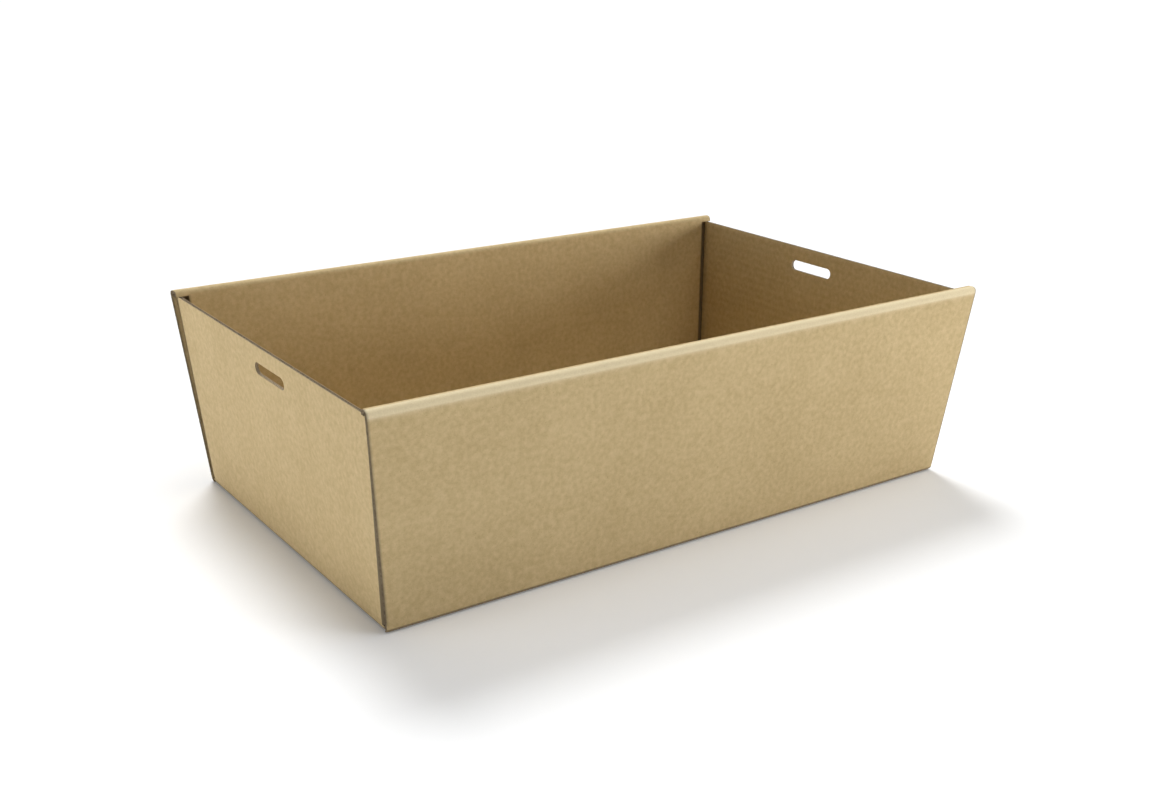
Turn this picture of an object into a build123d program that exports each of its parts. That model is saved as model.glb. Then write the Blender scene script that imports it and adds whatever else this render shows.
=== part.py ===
"""Open catering tray folded from one die-cut blank of kraft corrugated board.

The long walls roll over at the rim and come down inside as a second panel, locked by tabs in the base.
The end walls are a single board. Their corner flaps lie between the two panels of the long walls.
X runs along the tray, Y across it and Z up. The origin is the middle of the underside.
"""
import os
from math import cos, radians, sin, tan

from build123d import *

# Outside of the folded tray, in millimetres and degrees from upright
base_length = 255.0
base_width = 155.0
tray_height = 80.0
long_wall_lean = 5.8
end_wall_lean = 4.6

# Board, creases and the air between layers that lie on each other
board = 1.5
crease_radius = 0.5
layer_gap = 0.2

# Corners, where the end walls pass into the rolled long walls
end_wall_drop = 2.6
corner_cover = 1.4
roll_end_inset = 0.7
roll_corner_radius = 0.8
inner_panel_end_gap = 2.6
corner_relief = 2.2
flap_reach = 48.0

# Lid slots, one in each end wall, right of its middle as seen from outside
slot_length = 25.0
slot_height = 4.6
slot_below_edge = 8.6
slot_offset = 5.5

# Tabs at the foot of the inner panels, in slots of the base
tab_width = 30.0
tab_spacing = 130.0
tab_tip_height = 0.3
tab_clearance = 0.25

# Sizes that follow
half_length = base_length / 2
half_width = base_width / 2
long_lean = radians(long_wall_lean)
end_lean = radians(end_wall_lean)
outside_radius = crease_radius + board
roll_thickness = 3 * board + 2 * layer_gap
end_wall_top = tray_height - end_wall_drop
roll_notch = end_wall_top + layer_gap
panel_foot = board + layer_gap
rim_half_length = half_length + tray_height * tan(end_lean) + corner_cover
fold_start_x = half_length - outside_radius * tan((radians(90) - end_lean) / 2)
fold_start_y = half_width - outside_radius * tan((radians(90) - long_lean) / 2)
cut_margin = 10 * board
reach = rim_half_length + cut_margin
sky = tray_height + cut_margin


def long_wall_y(height, depth):
    """Y of the plane that lies a depth inside the long wall's outer face."""
    return half_width + height * tan(long_lean) - depth / cos(long_lean)


def end_wall_x(height, depth):
    """X of the plane that lies a depth inside the end wall's outer face."""
    return half_length + height * tan(end_lean) - depth / cos(end_lean)


def bent_board(outer_points, inner_points):
    """Section of one board, with concentric folds at the corners of its two faces."""
    outer = FilletPolyline(*outer_points, radius=outside_radius)
    inner = FilletPolyline(*inner_points, radius=crease_radius)
    ends = [Line(outer @ 0, inner @ 0), Line(outer @ 1, inner @ 1)]
    return make_face(outer.edges() + inner.edges() + ends)


def prism(plane, points, amount, both=False):
    """Straight prism on an outline of straight sides."""
    return extrude(plane * make_face(Polyline(*points, close=True).edges()), amount=amount, both=both)


def long_side():
    """Half of the base with the outer panel, the rim's top strip and the inner panel."""
    under_strip = tray_height - board
    outer_face = [
        (0, 0),
        (half_width, 0),
        (long_wall_y(tray_height, 0), tray_height),
        (long_wall_y(tray_height, roll_thickness), tray_height),
        (long_wall_y(panel_foot, roll_thickness), panel_foot),
    ]
    inner_face = [
        (0, board),
        (long_wall_y(board, board), board),
        (long_wall_y(under_strip, board), under_strip),
        (long_wall_y(under_strip, roll_thickness - board), under_strip),
        (long_wall_y(panel_foot, roll_thickness - board), panel_foot),
    ]
    side = extrude(Plane.YZ * bent_board(outer_face, inner_face), amount=reach)
    side &= side_outline()
    return side - base_end() - inner_panel_end() - roll_end() + lock_tab() - tab_slot()


def side_outline():
    """Front view of the long side: flush with the end wall at the foot, past it at the rim."""
    outline = make_face(
        Polyline(
            (0, 0), (half_length, 0), (rim_half_length, tray_height), (0, tray_height), close=True
        ).edges()
    )
    rim_corner = outline.vertices().sort_by_distance((rim_half_length, tray_height))[0]
    outline = fillet(rim_corner, roll_corner_radius)
    return extrude(Plane.XZ * outline, amount=-reach)


def base_end():
    """Strip of base that gives way to the end wall's fold."""
    strip = [(fold_start_x, 0), (reach, 0), (reach, fold_start_y), (fold_start_x, fold_start_y)]
    return prism(Plane.XY, strip, board + layer_gap / 2)


def inner_panel_end():
    """Room between the inner panel's end and the end wall, up to the rim's top strip."""
    foot = board + layer_gap / 2
    depth = board + inner_panel_end_gap
    beyond = [
        (end_wall_x(foot, depth), foot),
        (reach, foot),
        (reach, roll_notch),
        (end_wall_x(roll_notch, depth), roll_notch),
    ]
    between_layers = board + layer_gap / 2
    inside = [
        (0, foot),
        (long_wall_y(foot, between_layers), foot),
        (long_wall_y(roll_notch, between_layers), roll_notch),
        (0, roll_notch),
    ]
    return prism(Plane.XZ, beyond, -reach) & prism(Plane.YZ, inside, reach)


def roll_end():
    """Slanted end of the rim's top strip, drawn in towards the inner panel."""
    strip_start = long_wall_y(tray_height, 0) - outside_radius
    strip_end = long_wall_y(tray_height, roll_thickness)
    beyond = [
        (rim_half_length, strip_start),
        (rim_half_length - roll_end_inset, strip_end),
        (rim_half_length - roll_end_inset, 0),
        (reach, 0),
        (reach, strip_start),
    ]
    return Pos(Z=roll_notch) * prism(Plane.XY, beyond, sky - roll_notch)


def lock_tab():
    """Tab at the inner panel's foot, through the base."""
    root = panel_foot + board
    section = [
        (long_wall_y(tab_tip_height, roll_thickness), tab_tip_height),
        (long_wall_y(tab_tip_height, roll_thickness - board), tab_tip_height),
        (long_wall_y(root, roll_thickness - board), root),
        (long_wall_y(root, roll_thickness), root),
    ]
    return Pos(X=tab_spacing / 2) * prism(Plane.YZ, section, tab_width / 2, both=True)


def tab_slot():
    """Slot of the base round the tab, as a frame that leaves the tab whole."""
    inside = long_wall_y(0, roll_thickness) - tab_clearance
    outside = long_wall_y(board, roll_thickness - board) + tab_clearance
    half_slot = tab_width / 2 + tab_clearance
    window = [(-half_slot, inside), (half_slot, inside), (half_slot, outside), (-half_slot, outside)]
    return Pos(X=tab_spacing / 2) * prism(Plane.XY, window, board) - lock_tab()


def end_wall_foot():
    """Half of the fold from the base up to the end wall. Its toe runs on under the corner bend."""
    overlap = 2 * outside_radius
    top = corner_relief + overlap
    start = half_length - 2 * overlap
    outer_face = [(start, 0), (half_length, 0), (end_wall_x(top, 0), top)]
    inner_face = [(start, board), (end_wall_x(board, board), board), (end_wall_x(top, board), top)]
    section = Plane.XZ * bent_board(outer_face, inner_face)
    width = long_wall_y(0, board + layer_gap) - outside_radius
    below_bend = Box(
        2 * reach, 2 * reach, corner_relief - layer_gap, align=(Align.CENTER, Align.CENTER, Align.MIN)
    )
    toe = extrude(section, amount=layer_gap - fold_start_y) & below_bend
    return extrude(section, amount=-width) + toe


def end_wall_and_flap():
    """Half of the end wall with its corner bend and the flap between the long wall's panels."""
    end_normal = Vector(cos(end_lean), 0, -sin(end_lean))
    long_normal = Vector(0, cos(long_lean), -sin(long_lean))
    corner = Vector(half_length, long_wall_y(0, board + layer_gap), 0)
    corner_up = end_normal.cross(long_normal).normalized()
    along_wall = end_normal.cross(corner_up)
    along_flap = corner_up.cross(long_normal)
    across = Plane(origin=corner, x_dir=along_wall, z_dir=corner_up)

    flap = Vector(along_flap.dot(along_wall), along_flap.dot(end_normal))
    flap_inward = Vector(-long_normal.dot(along_wall), -long_normal.dot(end_normal))
    wall_end = base_width
    inner_corner = Vector(board * (1 + flap_inward.Y) / flap_inward.X, -board)
    flap_tip = flap * flap_reach
    outer_face = [(wall_end, 0), (0, 0), (flap_tip.X, flap_tip.Y)]
    inner_tip = flap_tip + flap_inward * board
    inner_face = [(wall_end, -board), (inner_corner.X, inner_corner.Y), (inner_tip.X, inner_tip.Y)]
    wall = extrude(across * bent_board(outer_face, inner_face), amount=sky, both=True)
    kept = Pos(0, 0, corner_relief) * Box(
        reach, reach, end_wall_top - corner_relief, align=(Align.MIN, Align.MIN, Align.MIN)
    )
    return wall & kept


def lid_slot():
    """Round-ended cutter for the slot that takes the lid's tab."""
    height = end_wall_top - slot_below_edge
    on_wall = Plane(
        origin=(end_wall_x(height, 0), slot_offset, height),
        x_dir=(0, 1, 0),
        z_dir=(cos(end_lean), 0, -sin(end_lean)),
    )
    return extrude(on_wall * SlotOverall(slot_length, slot_height), amount=2 * board, both=True)


def folded_tray():
    """The whole folded blank, from one quarter mirrored twice."""
    quarter = long_side() + end_wall_foot() + end_wall_and_flap()
    half = quarter + mirror(quarter, about=Plane.YZ)
    tray = half + mirror(half, about=Plane.XZ)
    return tray - lid_slot() - Rot(Z=180) * lid_slot()


os.makedirs("parts", exist_ok=True)
export_step(folded_tray(), "parts/folded_tray.step")
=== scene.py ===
"""Kraft catering tray, folded from one sheet of fluted board, on a white studio floor."""

from math import cos, pi, radians, sin, tan

import bmesh
import bpy
from mathutils import Matrix, Vector


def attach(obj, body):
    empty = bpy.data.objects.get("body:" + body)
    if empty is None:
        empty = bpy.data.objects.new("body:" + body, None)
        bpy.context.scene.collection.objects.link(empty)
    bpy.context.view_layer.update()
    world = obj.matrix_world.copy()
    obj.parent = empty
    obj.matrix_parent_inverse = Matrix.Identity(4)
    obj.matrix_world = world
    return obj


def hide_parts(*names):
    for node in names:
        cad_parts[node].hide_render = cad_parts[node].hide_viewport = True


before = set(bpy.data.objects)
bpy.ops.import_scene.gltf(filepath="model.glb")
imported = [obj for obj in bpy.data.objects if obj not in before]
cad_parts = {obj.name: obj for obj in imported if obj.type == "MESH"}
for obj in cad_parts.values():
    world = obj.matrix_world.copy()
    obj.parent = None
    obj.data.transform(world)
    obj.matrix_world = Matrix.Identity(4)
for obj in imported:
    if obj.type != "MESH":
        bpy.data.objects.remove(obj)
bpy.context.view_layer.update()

mm = 0.001

# Outside of the folded tray
half_length = 127.5 * mm
half_width = 77.5 * mm
tray_height = 80 * mm
long_lean = radians(5.8)
end_lean = radians(4.6)

# Board and its folds
board = 1.5 * mm
layer_gap = 0.2 * mm
flute_pitch = 3.3 * mm
fold_radius = 2.0 * mm
fold_steps = 8
long_side_folds = 3
end_side_folds = 2

# Bends above the first angle are folds still to be rounded, and below the second are shaded smooth
sharp_fold = radians(80)
smooth_bend = radians(35)

# Corners, where the end walls pass into the rolled long walls
end_wall_drop = 2.6 * mm
corner_cover = 1.4 * mm
roll_end_inset = 0.7 * mm
inner_panel_end_gap = 2.6 * mm
corner_relief = 2.2 * mm
corner_strip = 2.2 * mm
flap_reach = 48 * mm

# Lid slots
slot_length = 25 * mm
slot_height = 4.6 * mm
slot_below_edge = 8.6 * mm
slot_offset = 5.5 * mm
slot_steps = 32

# Lock tabs
tab_middle = 65 * mm
tab_half_width = 15 * mm
tab_tip = 0.3 * mm
tab_clearance = 0.25 * mm

# Die-cut edges, and lines beside the edges and folds
crushed_strip = 1.1 * mm
crush = 0.14 * mm
groove_depth = 0.2 * mm
groove_cuts = 6
fold_flat = 4.6 * mm
base_end_flat = 3.0 * mm

# Cut edges whose normal leans this far to X face an end of the tray
faces_end = 0.8

# Painted shade on the creases that the tray stands on
shaded_crease_top = 1.4 * mm
foot_crease_shade = 0.88

# Lengths this close are the same, and points this close to a cut lie on it
same_length = 0.001 * mm
on_cut = 0.0001 * mm

# Sizes that follow
roll_thickness = 3 * board + 2 * layer_gap
end_wall_top = tray_height - end_wall_drop
roll_notch = end_wall_top + layer_gap
panel_foot = board + layer_gap
panel_end_depth = board + inner_panel_end_gap
rim_half_length = half_length + tray_height * tan(end_lean) + corner_cover
toe_top = corner_relief - layer_gap
toe_half_width = half_width - fold_radius * tan((pi / 2 - long_lean) / 2) - layer_gap
slot_middle = end_wall_top - slot_below_edge

# Finishes, in the order of the tray's material slots
LONG_OUT, END_OUT, LONG_IN, END_IN, CUT, GROOVE = range(6)

# How far the flutes show through the paper
outside_relief = 0.15
inside_relief = 0.7

# Colours of the paper
kraft_dark = (0.44, 0.321, 0.148, 1)
kraft_pale = (0.665, 0.513, 0.281, 1)
# Paler paper for the rim's shoulder: partly wear, partly a painted highlight
kraft_worn_highlight = (0.80, 0.685, 0.45, 1)
# Dark brown painted shade for the corner bends, the crevice under the roll and the foot creases
kraft_painted_shade = (0.11, 0.083, 0.052, 1)
# Cut liner browns, darker than the paper: painted shade on the cut edges
cut_dark = (0.28, 0.22, 0.15, 1)
cut_pale = (0.42, 0.34, 0.235, 1)
# Dark painted shade for the cut edges that face an end
cut_painted_shade = (0.09, 0.068, 0.042, 1)
# Dark browns of the flutes' hollow: painted shade
flute_dark = (0.14, 0.107, 0.068, 1)
flute_pale = (0.25, 0.195, 0.125, 1)

# Camera, from a fit to the photograph's edges
camera_lens = 42.615
camera_sensor = 36
camera_place = Vector((-303.499, -437.909, 218.407)) * mm
camera_azimuth = radians(-35.043)
camera_elevation = radians(19.241)
camera_roll = radians(0.543)

# Studio, with its floor a hair below the tray's underside
floor_half_size = 12
floor_drop = 0.02 * mm
floor_colour = (0.89, 0.9, 0.912, 1)
room_colour = (1, 1, 1, 1)


def long_wall_y(height, depth):
    """Y of the plane that lies a depth inside the long wall's outer face."""
    return half_width + height * tan(long_lean) - depth / cos(long_lean)


def end_wall_x(height, depth):
    """X of the plane that lies a depth inside the end wall's outer face."""
    return half_length + height * tan(end_lean) - depth / cos(end_lean)


foot_half_width = long_wall_y(corner_relief, board + layer_gap) - corner_strip


def cut(sheet, point, normal, faces=None):
    """Divide panels along a straight line."""
    faces = list(sheet.faces) if faces is None else faces
    edges = {edge for face in faces for edge in face.edges}
    verts = {vert for face in faces for vert in face.verts}
    bmesh.ops.bisect_plane(
        sheet, geom=[*faces, *edges, *verts], dist=on_cut, plane_co=point, plane_no=normal
    )


def near(value, target):
    """Whether two lengths are the same."""
    return abs(value - target) < same_length


def faces_at(sheet, test):
    """Faces whose middle passes a test on its place."""
    return [face for face in sheet.faces if test(face.calc_center_bounds())]


def edges_at(sheet, test):
    """Open edges whose two ends pass a test on their place."""
    return [edge for edge in sheet.edges if edge.is_boundary and all(test(vert.co) for vert in edge.verts)]


def verts_of(geometry):
    """The vertices among what an operator made."""
    return [item for item in geometry if isinstance(item, bmesh.types.BMVert)]


def add_panel(sheet, edges, place, finish):
    """Extrude a chain of edges into a panel, and return the panel's far chain."""
    far = set(verts_of(bmesh.ops.extrude_edge_only(sheet, edges=edges)["geom"]))
    for vert in far:
        vert.co = place(vert.co)
    chain = [edge for edge in sheet.edges if far.issuperset(edge.verts)]
    for edge in chain:
        edge.link_faces[0].material_index = finish
    return chain


def quarter_base(sheet):
    """Quarter of the base, with the slot for a lock tab."""
    bmesh.ops.create_grid(sheet, x_segments=1, y_segments=1, size=0.5)
    bmesh.ops.translate(sheet, verts=sheet.verts, vec=(0.5, 0.5, 0))
    bmesh.ops.scale(sheet, verts=sheet.verts, vec=(half_length, half_width, 1))
    slot_inside = long_wall_y(0, roll_thickness) - tab_clearance
    slot_outside = long_wall_y(board, roll_thickness - board) + tab_clearance
    slot_half = tab_half_width + tab_clearance
    cut(sheet, (0, slot_outside, 0), (0, 1, 0))
    cut(sheet, (0, toe_half_width, 0), (0, 1, 0), faces_at(sheet, lambda co: co.y > slot_outside))
    for side in (-1, 1):
        floor = faces_at(sheet, lambda co: co.y < slot_outside)
        cut(sheet, (tab_middle + side * slot_half, 0, 0), (1, 0, 0), floor)
    column = faces_at(sheet, lambda co: co.y < slot_outside and abs(co.x - tab_middle) < slot_half)
    cut(sheet, (0, slot_inside, 0), (0, 1, 0), column)
    last_column = faces_at(sheet, lambda co: co.y < slot_outside and co.x > tab_middle + slot_half)
    cut(sheet, (0, foot_half_width, 0), (0, 1, 0), last_column)
    window = faces_at(
        sheet, lambda co: slot_inside < co.y < slot_outside and abs(co.x - tab_middle) < slot_half
    )
    bmesh.ops.delete(sheet, geom=window, context="FACES")


def long_side(sheet):
    """Outer panel, top strip and inner panel, with the tab at its foot."""
    flare = rim_half_length / half_length
    rim = add_panel(
        sheet,
        edges_at(sheet, lambda co: near(co.y, half_width)),
        lambda co: Vector((co.x * flare, long_wall_y(tray_height, 0), tray_height)),
        LONG_OUT,
    )
    drawn_in = (rim_half_length - roll_end_inset) / rim_half_length
    shoulder = add_panel(
        sheet,
        rim,
        lambda co: Vector((co.x * drawn_in, long_wall_y(tray_height, roll_thickness), tray_height)),
        LONG_OUT,
    )
    notch = add_panel(
        sheet,
        shoulder,
        lambda co: Vector((co.x, long_wall_y(roll_notch, roll_thickness), roll_notch)),
        LONG_OUT,
    )
    panel_top = end_wall_x(roll_notch, panel_end_depth)
    cut(sheet, (panel_top, 0, 0), (1, 0, 0), [edge.link_faces[0] for edge in notch])
    taper = end_wall_x(panel_foot, panel_end_depth) / panel_top
    add_panel(
        sheet,
        edges_at(sheet, lambda co: near(co.z, roll_notch) and co.x < panel_top + same_length),
        lambda co: Vector((co.x * taper, long_wall_y(panel_foot, roll_thickness), panel_foot)),
        LONG_OUT,
    )
    lock_tab(sheet)


def lock_tab(sheet):
    """Tab at the inner panel's foot."""
    for side in (-1, 1):
        panel = [edge.link_faces[0] for edge in edges_at(sheet, lambda co: near(co.z, panel_foot))]
        cut(sheet, (tab_middle + side * tab_half_width, 0, 0), (1, 0, 0), panel)
    root_reach = tab_half_width + same_length
    add_panel(
        sheet,
        edges_at(sheet, lambda co: near(co.z, panel_foot) and abs(co.x - tab_middle) < root_reach),
        lambda co: Vector((co.x, long_wall_y(tab_tip, roll_thickness), tab_tip)),
        LONG_OUT,
    )


def end_side(sheet):
    """Half of the end wall, and the corner flap that lies between the long wall's panels."""
    base_edge = edges_at(
        sheet,
        lambda co: near(co.x, half_length) and near(co.z, 0) and co.y < toe_half_width + same_length,
    )
    toe = add_panel(
        sheet, base_edge, lambda co: Vector((end_wall_x(toe_top, 0), co.y, toe_top)), END_OUT
    )
    foot = [edge for edge in toe if all(vert.co.y < foot_half_width + same_length for vert in edge.verts)]
    relief = add_panel(
        sheet, foot, lambda co: Vector((end_wall_x(corner_relief, 0), co.y, corner_relief)), END_OUT
    )
    flare = (long_wall_y(end_wall_top, board + layer_gap) - corner_strip) / foot_half_width
    add_panel(
        sheet,
        relief,
        lambda co: Vector((end_wall_x(end_wall_top, 0), co.y * flare, end_wall_top)),
        END_OUT,
    )
    above_toe = corner_relief - same_length
    beside_foot = foot_half_width - same_length
    side = edges_at(
        sheet,
        lambda co: co.y > beside_foot and co.z > above_toe and near(co.x, end_wall_x(co.z, 0)),
    )
    corner = add_panel(
        sheet, side, lambda co: Vector((co.x, long_wall_y(co.z, board + layer_gap), co.z)), END_OUT
    )
    add_panel(sheet, corner, lambda co: co - Vector((flap_reach, 0, 0)), END_OUT)


def in_line(edge, start, run):
    """Whether an edge lies on the line from a start along a run."""
    return all((vert.co - start).cross(run).length < same_length * run.length for vert in edge.verts)


def round_folds(sheet, count):
    """Round the sharp folds, and mark the rim's shoulder, the corner bends and the foot creases."""
    shoulder = sheet.faces.layers.float["shoulder"]
    nook = sheet.faces.layers.float["nook"]
    for _ in range(count):
        sharp = [e for e in sheet.edges if len(e.link_faces) == 2 and e.calc_face_angle() > sharp_fold]
        start, end = (vert.co.copy() for vert in sharp[0].verts)
        made = bmesh.ops.bevel(
            sheet,
            geom=[edge for edge in sharp if in_line(edge, start, end - start)],
            offset=fold_radius * tan(sharp[0].calc_face_angle() / 2),
            offset_type="OFFSET",
            segments=fold_steps,
            profile=0.5,
            affect="EDGES",
            clamp_overlap=False,
            loop_slide=True,
            material=-1,
        )
        for face in made["faces"]:
            # Mark the rim's shoulder for its wear and painted highlight
            face[shoulder] = near(start.y, long_wall_y(tray_height, 0))
            # Corner bends get full painted shade, and the foot creases a little less
            if not near(start.z, end.z):
                face[nook] = 1
            elif face.calc_center_median().z < shaded_crease_top:
                face[nook] = foot_crease_shade


def corner_slit(sheet):
    """Slit between the end wall's toe and the long wall's fold."""
    fold_start = half_length - fold_radius * tan((pi / 2 - end_lean) / 2)

    def beyond_toe(co):
        return near(co.z, 0) and toe_half_width < co.y < toe_half_width + layer_gap

    cut(sheet, (fold_start, 0, 0), (1, 0, 0), faces_at(sheet, beyond_toe))
    slit = faces_at(sheet, lambda co: beyond_toe(co) and co.x > fold_start)
    bmesh.ops.delete(sheet, geom=slit, context="FACES")


def is_inner_panel(face):
    """Whether a face of the long side lies on the inner panel, below the roll."""
    middle = face.calc_center_median()
    return middle.z < roll_notch and middle.y < long_wall_y(middle.z, roll_thickness) + board / 2


def support_lines(sheet):
    """Lines close to the folds and cut edges, which keep the flat of each panel flat."""
    for height in (fold_flat, tray_height - fold_flat):
        cut(sheet, (0, 0, height), (0, 0, 1))
    base = faces_at(sheet, lambda co: near(co.z, 0))
    cut(sheet, (half_length - base_end_flat, 0, 0), (1, 0, 0), base)
    end_faces = [face for face in sheet.faces if face.material_index == END_OUT]
    cut(sheet, (0, 0, end_wall_top - crushed_strip), (0, 0, 1), end_faces)
    long_faces = [
        face for face in sheet.faces
        if face.material_index == LONG_OUT and face.calc_center_median().z > same_length
    ]
    inner_panel = [face for face in long_faces if is_inner_panel(face)]
    outer_panel = [face for face in long_faces if not is_inner_panel(face)]
    rim_slope = (rim_half_length - half_length) / tray_height
    panel_strip = end_wall_x(0, panel_end_depth) - crushed_strip
    cut(sheet, (half_length - crushed_strip, 0, 0), (1, 0, -rim_slope), outer_panel)
    cut(sheet, (panel_strip, 0, 0), (1, 0, -tan(end_lean)), inner_panel)


def end_wall_faces(sheet):
    """Flat faces of the end wall."""
    return [
        face for face in sheet.faces
        if face.material_index == END_OUT and near(abs(face.normal.x), cos(end_lean))
    ]


def slot_window(sheet, middle, directions):
    """Straight-sided opening in the end wall round the lid slot, as its border's edges."""
    for direction, reach in directions:
        for side in (-1, 1):
            cut(sheet, middle + side * reach * direction, direction, end_wall_faces(sheet))
    window = [
        face for face in end_wall_faces(sheet)
        if all(abs((face.calc_center_median() - middle).dot(d)) < reach for d, reach in directions)
    ]
    edges = {edge for face in window for edge in face.edges}
    bmesh.ops.delete(sheet, geom=window, context="FACES")
    return [edge for edge in edges if edge.is_valid]


def slot_ring(sheet, border, on_wall):
    """Round-ended ring at a border round the lid slot, as its edges."""
    ring = bmesh.ops.create_circle(sheet, segments=slot_steps, radius=slot_height / 2 + border)["verts"]
    half_step = Matrix.Rotation(pi / slot_steps, 3, "Z")
    bmesh.ops.rotate(sheet, verts=ring, cent=(0, 0, 0), matrix=half_step)
    for side in (-1, 1):
        half = [vert for vert in ring if vert.co.x * side > 0]
        bmesh.ops.translate(sheet, verts=half, vec=(side * (slot_length - slot_height) / 2, 0, 0))
    bmesh.ops.transform(sheet, verts=ring, matrix=on_wall)
    return list({edge for vert in ring for edge in vert.link_edges})


def lid_slot(sheet):
    """Round-ended slot in the end wall, with a ring for its crushed border."""
    up = Vector((sin(end_lean), 0, cos(end_lean)))
    across = Vector((0, 1, 0))
    middle = Vector((end_wall_x(slot_middle, 0), slot_offset, slot_middle))
    margin = 3 * crushed_strip
    outer = slot_window(
        sheet, middle, ((across, slot_length / 2 + margin), (up, slot_height / 2 + margin))
    )
    on_wall = Matrix((across, up, across.cross(up))).transposed().to_4x4()
    on_wall.translation = middle
    for border in (crushed_strip, 0):
        inner = slot_ring(sheet, border, on_wall)
        for face in bmesh.ops.bridge_loops(sheet, edges=[*outer, *inner])["faces"]:
            face.material_index = END_OUT
        outer = inner


def folded_sheet():
    """Outer face of the whole folded blank."""
    sheet = bmesh.new()
    for mark in ("shoulder", "nook"):
        sheet.faces.layers.float.new(mark)
    quarter_base(sheet)
    long_side(sheet)
    round_folds(sheet, long_side_folds)
    corner_slit(sheet)
    end_side(sheet)
    round_folds(sheet, end_side_folds)
    support_lines(sheet)
    quarter = [*sheet.verts, *sheet.edges, *sheet.faces]
    bmesh.ops.mirror(sheet, geom=quarter, axis="Y", merge_dist=same_length)
    bmesh.ops.remove_doubles(sheet, verts=sheet.verts, dist=same_length)
    lid_slot(sheet)
    half = [*sheet.verts, *sheet.edges, *sheet.faces]
    other_half = verts_of(bmesh.ops.duplicate(sheet, geom=half)["geom"])
    bmesh.ops.rotate(sheet, verts=other_half, cent=(0, 0, 0), matrix=Matrix.Rotation(pi, 3, "Z"))
    bmesh.ops.remove_doubles(sheet, verts=sheet.verts, dist=same_length)
    bmesh.ops.recalc_face_normals(sheet, faces=sheet.faces)
    base = min(sheet.faces, key=lambda face: face.calc_center_median().z)
    if base.normal.z > 0:
        bmesh.ops.reverse_faces(sheet, faces=sheet.faces)
    return sheet


def thicken(sheet):
    """Give the sheet its thickness, and return the faces of its cut edges."""
    outer = list(sheet.faces)
    made = bmesh.ops.solidify(sheet, geom=outer, thickness=board)["geom"]
    inner = [item for item in made if isinstance(item, bmesh.types.BMFace)]
    shoulder = sheet.faces.layers.float["shoulder"]
    nook = sheet.faces.layers.float["nook"]
    for face in inner:
        face.material_index += LONG_IN - LONG_OUT
        face[shoulder] = 0
        # Inner faces above the end wall's top get painted shade, for the crevice under the roll
        face[nook] = max(face[nook], face.calc_center_median().z > end_wall_top)
    cut_faces = set(sheet.faces).difference(outer, inner)
    for face in cut_faces:
        face.material_index = CUT
        face.normal_update()
        # Upright cut edges that face an end get painted shade
        face[nook] = abs(face.normal.x) > faces_end and face.calc_center_median().z > fold_flat
    return cut_faces


def open_flutes(sheet, cut_faces):
    """Crush the liners at the cut edges, and sink the hollow of the flutes between them."""
    across = [edge for edge in sheet.edges if cut_faces.issuperset(edge.link_faces)]
    for edge in across:
        one, other = edge.verts
        pinch = (other.co - one.co).normalized() * crush
        one.co += pinch
        other.co -= pinch
    made = bmesh.ops.subdivide_edges(sheet, edges=across, cuts=groove_cuts, use_grid_fill=True)
    middle = set(verts_of(made["geom_inner"]))
    lips = {vert for vert in middle if any(edge.other_vert(vert) not in middle for edge in vert.link_edges)}
    sheet.normal_update()
    hollow = {vert: vert.co - vert.normal * groove_depth for vert in middle - lips}
    for vert, place in hollow.items():
        vert.co = place
        in_lid_slot = abs(place.y) < slot_length and fold_flat < place.z < end_wall_top - crushed_strip
        for face in vert.link_faces:
            face.material_index = CUT if in_lid_slot else GROOVE


def mark_folds(sheet):
    """Store which vertices lie on the rim's shoulder or in a nook, for the paper's wear and painted
    highlight and for its painted shade.
    """
    for name in ("shoulder", "nook"):
        on_vert = sheet.verts.layers.float.new(name)
        on_face = sheet.faces.layers.float[name]
        for vert in sheet.verts:
            vert[on_vert] = max(face[on_face] for face in vert.link_faces)
        sheet.faces.layers.float.remove(on_face)


def kraft_tray():
    """The folded board as one piece, with its finishes."""
    sheet = folded_sheet()
    open_flutes(sheet, thicken(sheet))
    mark_folds(sheet)
    for face in sheet.faces:
        face.smooth = True
    mesh = bpy.data.meshes.new("kraft_tray")
    sheet.to_mesh(mesh)
    sheet.free()
    mesh.set_sharp_from_angle(angle=smooth_bend)
    tray = bpy.data.objects.new("kraft_tray", mesh)
    bpy.context.collection.objects.link(tray)
    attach(tray, "root")
    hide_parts("folded_tray")
    for finish in (
        kraft_liner("kraft_outside_long", "X", outside_relief),
        kraft_liner("kraft_outside_end", "Z", outside_relief),
        kraft_liner("kraft_inside_long", "X", inside_relief),
        kraft_liner("kraft_inside_end", "Z", inside_relief),
        cut_liner(),
        flute_hollow(),
    ):
        mesh.materials.append(finish)


class Value:
    """A socket of a material, on which plain expressions add Math nodes."""

    def __init__(self, finish, socket):
        self.finish = finish
        self.socket = socket

    def math(self, operation, other):
        """Add a Math node on this socket and another value."""
        return self.finish.node("ShaderNodeMath", {"operation": operation}, {0: self, 1: other})

    def __add__(self, other):
        return self.math("ADD", other)

    __radd__ = __add__

    def __sub__(self, other):
        return self.math("SUBTRACT", other)

    def __mul__(self, other):
        return self.math("MULTIPLY", other)


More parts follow.
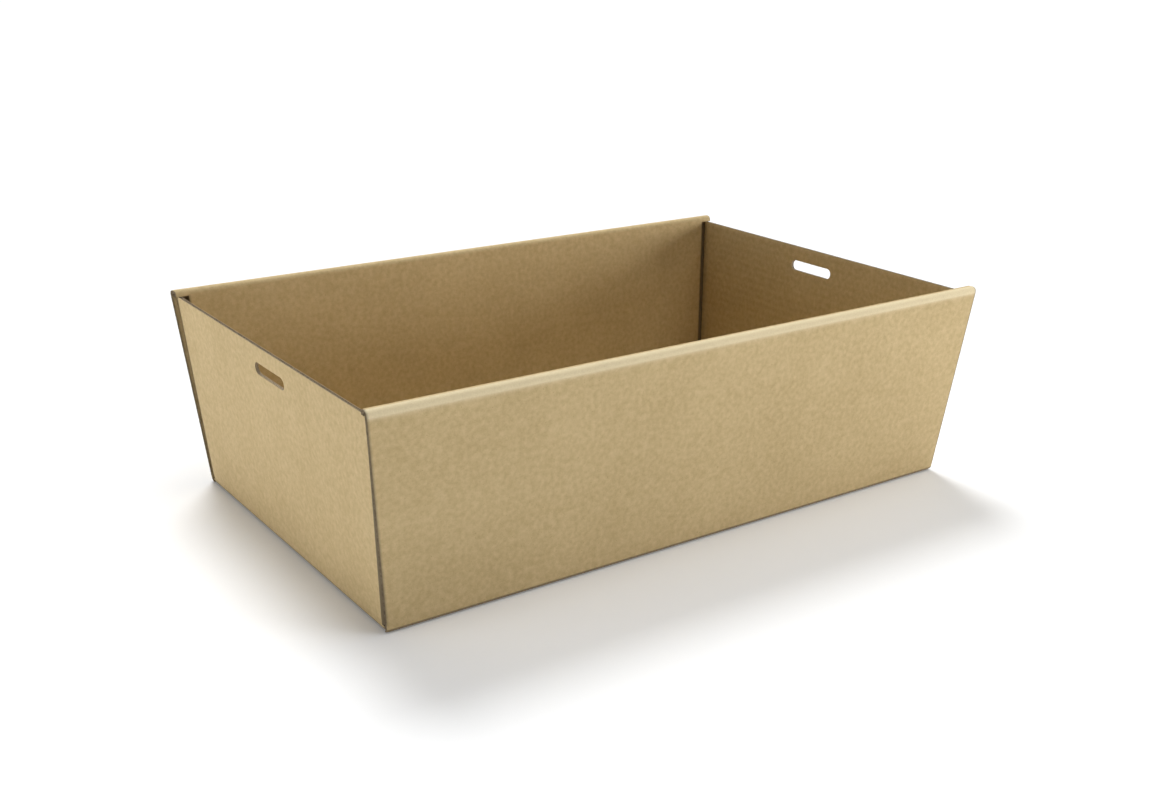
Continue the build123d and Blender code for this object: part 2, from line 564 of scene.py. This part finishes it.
class Finish:
    """A material or world and its nodes."""

    def __init__(self, owner):
        self.owner = owner
        owner.use_nodes = True
        self.nodes = owner.node_tree.nodes
        self.links = owner.node_tree.links
        self.nodes.clear()

    def node(self, kind, settings=None, inputs=None, output=0):
        """Add a node with its settings and its sockets' values or links, and return one of its outputs."""
        node = self.nodes.new(kind)
        for name, setting in (settings or {}).items():
            setattr(node, name, setting)
        for key, value in (inputs or {}).items():
            if isinstance(value, Value):
                self.links.new(value.socket, node.inputs[key])
            else:
                node.inputs[key].default_value = value
        return Value(self, node.outputs[output]) if node.outputs else None

    def place(self):
        """Place on the piece."""
        return self.node("ShaderNodeTexCoord", None, None, "Object")

    def mark(self, name):
        """A mark that the mesh carries."""
        return self.node("ShaderNodeAttribute", {"attribute_name": name}, None, "Fac")

    def noise(self, place, size, detail=2, roughness=0.5):
        """Soft noise with spots of about a size."""
        return self.node(
            "ShaderNodeTexNoise",
            None,
            {"Vector": place, "Scale": 1 / size, "Detail": detail, "Roughness": roughness},
        )

    def between(self, value, low, high):
        """0 below a low value, 1 above a high one, and smooth between."""
        return self.node(
            "ShaderNodeMapRange",
            {"interpolation_type": "SMOOTHSTEP"},
            {0: value, 1: low, 2: high, 3: 0, 4: 1},
        )

    def mix(self, factor, first, second):
        """Mix of two colours."""
        return self.node("ShaderNodeMix", {"data_type": "RGBA"}, {0: factor, 6: first, 7: second}, 2)

    def surface(self, **inputs):
        """Principled surface, and the material's output."""
        sockets = {name.replace("_", " "): value for name, value in inputs.items()}
        shader = self.node("ShaderNodeBsdfPrincipled", None, sockets)
        self.node("ShaderNodeOutputMaterial", None, {0: shader})
        return self.owner

    def seen_ray(self):
        """1 for rays by which the camera sees a surface, directly or in gloss and glass."""
        rays = ("Is Camera Ray", "Is Glossy Ray", "Is Transmission Ray")
        direct, gloss, glass = (self.node("ShaderNodeLightPath", None, None, ray) for ray in rays)
        return direct + gloss + glass


def fibres(finish, place, turn, length, width, share):
    """Fine straight fibres of paper that lie along a direction."""
    along = finish.node(
        "ShaderNodeMapping",
        {"vector_type": "TEXTURE"},
        {"Vector": place, "Rotation": turn, "Scale": (length, width, width)},
    )
    return finish.between(finish.noise(along, 1, 1), 0.72 - share, 0.78 - share)


def kraft_liner(name, flute_axis, relief):
    """Brown kraft paper over flutes: mottled, fibrous and ribbed, paler on the rim from wear and a painted
    highlight, and darkened in the nooks with painted shade.
    """
    finish = Finish(bpy.data.materials.new(name))
    place = finish.place()
    across = finish.node("ShaderNodeSeparateXYZ", None, {0: place}, flute_axis)
    shoulder = finish.mark("shoulder")
    nook = finish.mark("nook")
    clouds = finish.noise(place, 26 * mm)
    mottle = finish.noise(place, 1.8 * mm)
    grain = finish.noise(place, 0.45 * mm, 2, 0.6)
    specks = finish.between(finish.noise(place, 0.9 * mm, 1), 0.7, 0.77)
    pale = fibres(finish, place, (0.3, 0.5, 0.2), length=2.6 * mm, width=0.16 * mm, share=0.06)
    dark = fibres(finish, place, (1.3, -0.6, 0.9), length=2.2 * mm, width=0.14 * mm, share=0.05)
    cross = fibres(finish, place, (-0.4, 1.2, -0.7), length=2.4 * mm, width=0.15 * mm, share=0.05)
    wander = finish.noise(place, 9 * mm, 1) * 1.2
    phase = across * (2 * pi / flute_pitch) + wander
    ribs = finish.node("ShaderNodeMath", {"operation": "SINE"}, {0: phase})
    # The ribs' share of the tone is painted shade along the flutes
    tone = clouds * 0.3 + mottle * 0.8 + grain * 0.3 + ribs * (0.05 * relief) - specks * 0.42
    tone = tone + pale * 0.06 - dark * 0.08 + cross * 0.03
    # The rim's shoulder is paler from wear and from a painted highlight
    rim_wear_and_highlight = shoulder * shoulder * shoulder
    colour = finish.mix(finish.between(tone, 0.15, 1.25), kraft_dark, kraft_pale)
    colour = finish.mix(rim_wear_and_highlight * (0.5 + grain * 0.6), colour, kraft_worn_highlight)
    # Painted shade in the nooks
    colour = finish.mix(nook * nook * 0.85, colour, kraft_painted_shade)
    height = grain * 0.15 + mottle * 0.06 + (pale + dark + cross) * 0.04 + ribs * relief
    bump = finish.node(
        "ShaderNodeBump",
        None,
        {"Height": height, "Strength": 0.2 + 0.45 * relief, "Distance": 0.04 * mm},
    )
    return finish.surface(
        Base_Color=colour, Roughness=0.68 + grain * 0.2, Normal=bump, Specular_IOR_Level=0.3
    )


def cut_liner():
    """Edge of a liner where the die cut it, in a darker brown that is painted shade."""
    finish = Finish(bpy.data.materials.new("cut_liner"))
    grain = finish.noise(finish.place(), 0.6 * mm, 3, 0.6)
    colour = finish.mix(finish.between(grain, 0.3, 0.7), cut_dark, cut_pale)
    # Painted shade on the upright cut edges
    colour = finish.mix(finish.mark("nook") * 0.7, colour, cut_painted_shade)
    return finish.surface(Base_Color=colour, Roughness=0.92, Specular_IOR_Level=0.1)


def flute_hollow():
    """Fluted sheet seen in the hollow between the liners, painted dark for its shade."""
    finish = Finish(bpy.data.materials.new("flute_hollow"))
    grain = finish.noise(finish.place(), 1.2 * mm, 3, 0.6)
    colour = finish.mix(finish.between(grain, 0.3, 0.7), flute_dark, flute_pale)
    return finish.surface(Base_Color=colour, Roughness=0.95, Specular_IOR_Level=0.05)


def studio_camera():
    """Camera at the photograph's place and angle."""
    data = bpy.data.cameras.new("camera")
    data.sensor_fit = "HORIZONTAL"
    data.sensor_width = camera_sensor
    data.lens = camera_lens
    camera = bpy.data.objects.new("camera", data)
    bpy.context.collection.objects.link(camera)
    turn = Matrix.Rotation(camera_azimuth, 4, "Z") @ Matrix.Rotation(pi / 2 - camera_elevation, 4, "X")
    turn @= Matrix.Rotation(camera_roll, 4, "Z")
    camera.matrix_world = Matrix.Translation(camera_place) @ turn
    bpy.context.scene.camera = camera


def add_lamp(lamp, towards):
    """Put a lamp in the scene, turned towards a direction."""
    lamp_object = bpy.data.objects.new(lamp.name, lamp)
    lamp_object.rotation_mode = "QUATERNION"
    lamp_object.rotation_quaternion = Vector(towards).to_track_quat("-Z", "Y")
    bpy.context.collection.objects.link(lamp_object)
    return lamp_object


def soft_sun(name, towards, level, spread):
    """Soft distant lamp that lights a face square to it at a level."""
    lamp = bpy.data.lights.new(name, "SUN")
    lamp.energy = level * pi
    lamp.angle = spread
    add_lamp(lamp, towards)


def softbox(name, place, width, height, level):
    """Upright lamp with a soft face, turned to the tray, which it lights at a level."""
    lamp = bpy.data.lights.new(name, "AREA")
    lamp.shape = "RECTANGLE"
    lamp.size = width
    lamp.size_y = height
    towards = Vector((0, 0, tray_height / 2)) - Vector(place)
    lamp.energy = level * pi ** 2 * towards.length_squared
    lamp_object = add_lamp(lamp, towards)
    lamp_object.location = place
    lamp_object.visible_camera = False


def white_room(level):
    """World that lights from all round, and is white to the camera."""
    world = bpy.data.worlds.new("white_room")
    room = Finish(world)
    lit = room.node("ShaderNodeBackground", None, {"Color": room_colour, "Strength": level})
    seen = room.node("ShaderNodeBackground", None, {"Color": room_colour, "Strength": 1})
    both = room.node("ShaderNodeMixShader", None, {0: room.seen_ray(), 1: lit, 2: seen})
    room.node("ShaderNodeOutputWorld", None, {0: both})
    bpy.context.scene.world = world


def studio_floor(glow_level):
    """White floor that keeps the tray's shadow, with a little glow where it is seen."""
    sheet = bmesh.new()
    bmesh.ops.create_grid(sheet, x_segments=1, y_segments=1, size=floor_half_size)
    bmesh.ops.translate(sheet, verts=sheet.verts, vec=(0, 0, -floor_drop))
    mesh = bpy.data.meshes.new("floor")
    sheet.to_mesh(mesh)
    sheet.free()
    floor = bpy.data.objects.new("floor", mesh)
    bpy.context.collection.objects.link(floor)
    finish = Finish(bpy.data.materials.new("floor_white"))
    paint = finish.node("ShaderNodeBsdfDiffuse", None, {"Color": floor_colour})
    glow = finish.node("ShaderNodeEmission", None, {"Strength": glow_level})
    bright = finish.node("ShaderNodeAddShader", None, {0: paint, 1: glow})
    both = finish.node("ShaderNodeMixShader", None, {0: finish.seen_ray(), 1: paint, 2: bright})
    finish.node("ShaderNodeOutputMaterial", None, {0: both})
    mesh.materials.append(finish.owner)


kraft_tray()
studio_camera()
studio_floor(glow_level=0.1)
white_room(level=0.04)
soft_sun("key", towards=(-16, -55, -80), level=0.72, spread=radians(24))
soft_sun("top", towards=(0, -10, -80), level=0.15, spread=radians(50))
soft_sun("high_right", towards=(-22, 20, -80), level=0.28, spread=radians(40))
softbox("left", place=(-0.75, 0.15, 0.1), width=0.4, height=0.12, level=0.28)
softbox("front", place=(0.65, -0.75, 0.18), width=0.35, height=0.2, level=0.4)
bpy.context.scene.view_settings.view_transform = "Standard"
